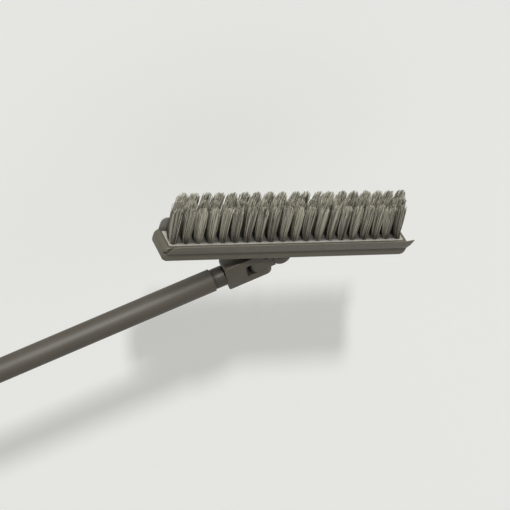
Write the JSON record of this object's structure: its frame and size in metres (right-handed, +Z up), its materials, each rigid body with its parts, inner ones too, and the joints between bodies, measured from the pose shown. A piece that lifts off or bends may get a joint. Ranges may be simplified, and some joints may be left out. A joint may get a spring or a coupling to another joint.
{
  "type": "household broom",
  "caption": "Floor broom: flat head with three rows of filament tufts, scraper lip and squeegee blade, two-way tilting joint and screw-together tube handle.",
  "frame": {"origin": "middle of the head's flat far side wall, which lies on the ground when the broom lies on its side", "axes": "+X along the handle from the head to the grip, +Z up, square to the flat side wall; the tilt pin is upright and the swivel pin lies along Y"},
  "size_m": [1.2823, 0.1801, 0.0374],
  "materials": {
    "shell": "satin brown-grey moulded plastic",
    "plate": "satin brown-grey moulded plastic",
    "bristle": "drawn plastic filaments in grey-brown tones",
    "lip": "matte brown-grey rubber",
    "blade": "matte dark rubber",
    "joint": "satin dark moulded plastic",
    "steel": "plain zinc-plated steel",
    "pin": "steel with a dark satin coating",
    "tube": "smooth satin dark brown coating on steel",
    "insert": "satin dark plastic",
    "grip": "matte dark soft plastic"
  },
  "bodies": {
    "head": {"head_shell": "shell", "bristle_plate": "plate", "front_bristle_row": "bristle", "middle_bristle_row": "bristle", "rear_bristle_row": "bristle", "front_scraper_lip": "lip", "rear_squeegee_blade": "blade", "pivot_base": "joint", "base_screw_left": "steel", "base_screw_right": "steel", "tilt_pin": "pin", "tilt_pin_clip": "steel"},
    "knuckle": {"swivel_knuckle": "joint"},
    "handle": {"yoke_fork": "joint", "swivel_pin": "pin", "swivel_pin_clip": "steel", "neck_insert": "insert", "lower_tube": "tube", "lower_joint_spigot": "insert", "lower_joint_socket": "insert", "middle_tube": "tube", "middle_joint_spigot": "insert", "middle_joint_socket": "insert", "upper_tube": "tube", "grip_sleeve": "grip", "end_cap": "grip"}
  },
  "joints": [
    {"name": "head_tilt", "type": "hinge", "parent": "head", "child": "knuckle", "pos_m": [0.00584, 0.01054, 0.01455], "axis": [0, 0, 1], "range_deg": [0, 122]},
    {"name": "side_swivel", "type": "hinge", "parent": "knuckle", "child": "handle", "pos_m": [0.02434, 0.01054, 0.01455], "axis": [0, 1, 0], "range_deg": [-40, 40]}
  ]
}
